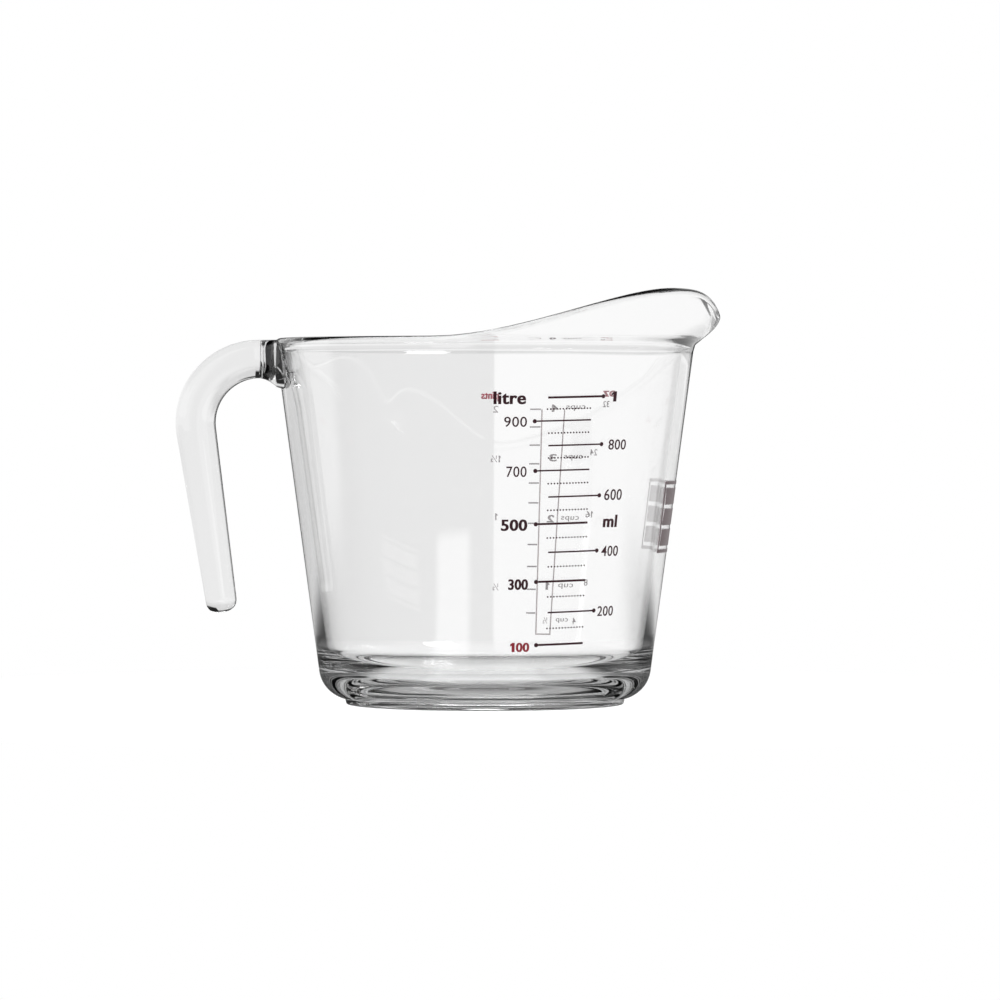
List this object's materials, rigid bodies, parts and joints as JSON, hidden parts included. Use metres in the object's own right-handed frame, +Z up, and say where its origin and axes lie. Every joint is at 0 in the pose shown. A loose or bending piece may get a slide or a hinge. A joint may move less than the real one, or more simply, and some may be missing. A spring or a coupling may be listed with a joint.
{
  "type": "measuring jug",
  "caption": "Clear pressed-glass measuring jug with a raised pouring lip, an open hook handle and red enamel scales in litres and cups.",
  "frame": {"origin": "on the vessel's axis, in the plane of the foot's ring that the jug stands on", "axes": "+Z up along the vessel's axis, +X from the axis towards the pouring lip, -X towards the handle, litre scale on the -Y side"},
  "size_m": [0.1836, 0.142, 0.1398],
  "materials": {
    "clear_glass": "fire-polished clear pressed glass",
    "maroon_enamel": "screen-printed enamel, fired on",
    "red_enamel": "screen-printed enamel, fired on"
  },
  "bodies": {
    "root": {"vessel": "clear_glass", "handle": "clear_glass", "litre_lines": "maroon_enamel", "half_lines": "maroon_enamel", "cup_column": "red_enamel", "cup_lines": "maroon_enamel", "front_panel": "red_enamel"}
  },
  "joints": []
}
